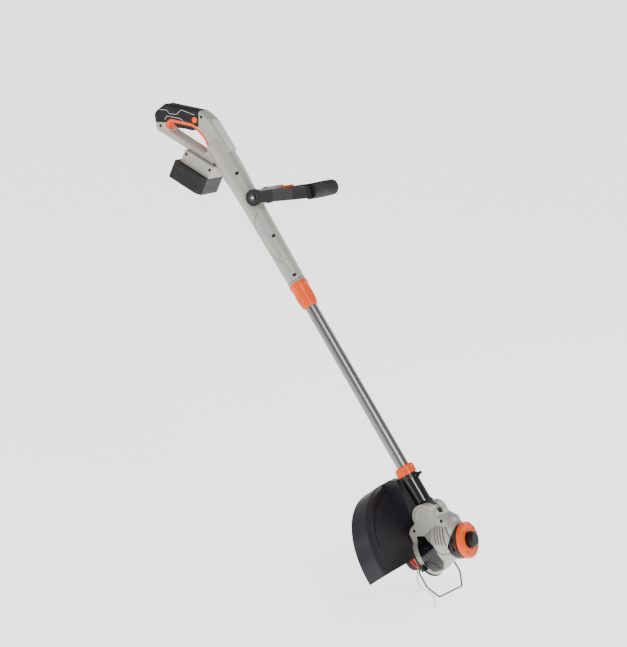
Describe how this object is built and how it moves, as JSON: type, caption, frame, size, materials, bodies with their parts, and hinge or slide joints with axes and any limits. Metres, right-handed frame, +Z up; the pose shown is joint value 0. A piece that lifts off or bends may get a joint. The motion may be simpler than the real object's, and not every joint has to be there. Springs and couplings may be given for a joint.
{
  "type": "string trimmer",
  "caption": "Battery string trimmer with telescopic shaft, tilting motor head, half-round guard, edging wheel, plant-guard wire, closed rear handle and tilting front loop handle.",
  "frame": {"origin": "centre of the tap cap's flat ground face, at the bottom of the line spool", "axes": "+Z up and +X forward in the pictured pose, +Y to the machine's left; the shaft leans 35.5 degrees back from vertical"},
  "size_m": [0.7532, 0.32, 0.9597],
  "materials": {
    "shell_grey": "satin moulded",
    "grip_black": "matt soft-touch",
    "accent_orange": "gloss moulded",
    "gloss_black": "gloss moulded",
    "satin_black": "satin moulded",
    "guard_dark": "satin moulded",
    "tube_alloy": "satin anodised",
    "steel_screw": "zinc plated",
    "steel_bright": "bright",
    "spring_steel": "bright drawn",
    "wire_steel": "black coated",
    "motor_steel": "plated",
    "board_green": "solder mask",
    "cable_black": "matt",
    "cell_sleeve": "shrink sleeve",
    "line_nylon": "drawn nylon",
    "spool_red": "moulded",
    "brass_blade": "plain",
    "nylon_white": "natural nylon",
    "battery_black": "satin moulded"
  },
  "bodies": {
    "upper": {"left_body_shell": "shell_grey", "right_body_shell": "shell_grey", "grip_cover": "grip_black", "grip_liner": "accent_orange", "trigger_pin": "steel_bright", "trigger_spring": "spring_steel", "power_switch": "satin_black", "controller_board": "board_green", "terminal_block": "brass_blade", "body_screws": "steel_screw", "guide_bush": "nylon_white", "clamp_collet": "nylon_white"},
    "collar": {"lock_collar": "accent_orange"},
    "trigger_body": {"trigger": "satin_black"},
    "lock_off": {"lock_off_button": "accent_orange"},
    "tube": {"telescopic_tube": "tube_alloy", "tube_slider": "nylon_white", "coiled_lead": "cable_black", "motor_cable": "cable_black"},
    "sleeve": {"knuckle_sleeve": "gloss_black", "plunger_spring": "spring_steel"},
    "turn_ring": {"turn_lock_ring": "accent_orange"},
    "plunger": {"detent_plunger": "satin_black"},
    "head": {"left_head_shell": "shell_grey", "right_head_shell": "shell_grey", "left_pivot_cap": "shell_grey", "right_pivot_cap": "shell_grey", "pivot_bolt": "steel_bright", "motor_can": "motor_steel", "motor_mount": "satin_black", "left_trim_inset": "gloss_black", "right_trim_inset": "gloss_black", "wheel_bracket": "guard_dark", "wheel_axle": "steel_bright", "guard": "guard_dark", "guard_screws": "steel_screw", "line_cutter": "steel_bright", "cutter_rivets": "steel_bright", "head_screws": "steel_screw", "wire_pivots": "satin_black"},
    "wire": {"wire_guard": "wire_steel"},
    "rotor": {"motor_rotor": "motor_steel", "cooling_fan": "nylon_white", "spool_housing": "satin_black", "spool_spring": "spring_steel"},
    "spool": {"line_spool": "spool_red", "trimmer_line": "line_nylon", "spool_cap": "satin_black"},
    "wheel": {"edging_wheel": "accent_orange", "wheel_hub": "satin_black"},
    "front_handle": {"front_handle_loop": "satin_black", "front_grip": "grip_black", "handle_base": "shell_grey", "handle_bolt": "steel_bright"},
    "front_button": {"adjust_button": "accent_orange"},
    "battery": {"battery_lid": "battery_black", "battery_case": "battery_black", "battery_cells": "cell_sleeve"},
    "latch": {"battery_latch": "satin_black"}
  },
  "joints": [
    {"name": "tube_slide", "type": "slide", "parent": "upper", "child": "tube", "axis": [-0.5807, 0, 0.8141], "range_m": [0, 0.15]},
    {"name": "collar_twist", "type": "hinge", "parent": "upper", "child": "collar", "pos_m": [-0.26597, 0, 0.53991], "axis": [-0.5807, 0, 0.8141], "range_deg": [0, 60]},
    {"name": "front_handle_tilt", "type": "hinge", "parent": "upper", "child": "front_handle", "pos_m": [-0.35235, 0, 0.70923], "axis": [0, 1, 0], "range_deg": [-45, 35]},
    {"name": "adjust_button_press", "type": "slide", "parent": "front_handle", "child": "front_button", "axis": [0.165, 0, -0.9863], "range_m": [0, 0.003], "stiffness_N_per_m": 500, "springref_m": -0.003},
    {"name": "trigger_squeeze", "type": "hinge", "parent": "upper", "child": "trigger_body", "pos_m": [-0.51489, 0, 0.85436], "axis": [0, 1, 0], "range_deg": [0, 8], "stiffness_Nm_per_rad": 0.6, "springref_deg": -8.59},
    {"name": "lock_off_press", "type": "slide", "parent": "upper", "child": "lock_off", "axis": [0, 1, 0], "range_m": [0, 0.004], "stiffness_N_per_m": 400, "springref_m": -0.003},
    {"name": "battery_slide", "type": "slide", "parent": "upper", "child": "battery", "axis": [-0.9048, 0, 0.4258], "range_m": [0, 0.08]},
    {"name": "battery_latch_press", "type": "slide", "parent": "battery", "child": "latch", "axis": [0.9048, 0, -0.4258], "range_m": [0, 0.003], "stiffness_N_per_m": 500, "springref_m": -0.002},
    {"name": "head_turn", "type": "hinge", "parent": "tube", "child": "sleeve", "pos_m": [0.04471, 0, 0.10436], "axis": [-0.5807, 0, 0.8141], "range_deg": [0, 180]},
    {"name": "turn_ring_slide", "type": "slide", "parent": "sleeve", "child": "turn_ring", "axis": [-0.5807, 0, 0.8141], "range_m": [0, 0.006], "stiffness_N_per_m": 500, "springref_m": -0.003},
    {"name": "plunger_pull", "type": "slide", "parent": "sleeve", "child": "plunger", "axis": [0.8141, 0, 0.5807], "range_m": [0, 0.004], "stiffness_N_per_m": 400, "springref_m": -0.003},
    {"name": "head_tilt", "type": "hinge", "parent": "sleeve", "child": "head", "pos_m": [0.04471, 0, 0.10436], "axis": [0, -1, 0], "range_deg": [0, 60]},
    {"name": "wire_fold", "type": "hinge", "parent": "head", "child": "wire", "pos_m": [0.05534, 0, 0.00508], "axis": [0, -1, 0], "range_deg": [0, 55]},
    {"name": "wheel_spin", "type": "hinge", "parent": "head", "child": "wheel", "pos_m": [0.11908, 0, 0.06037], "axis": [0.9636, 0, 0.2672], "continuous": true},
    {"name": "spool_spin", "type": "hinge", "parent": "head", "child": "rotor", "pos_m": [0.03582, 0, 0.02555], "axis": [0.8141, 0, 0.5807], "continuous": true},
    {"name": "cap_tap", "type": "slide", "parent": "rotor", "child": "spool", "axis": [0.8141, 0, 0.5807], "range_m": [0, 0.005], "stiffness_N_per_m": 600, "springref_m": -0.005, "deforming": ["spool_spring"]}
  ]
}
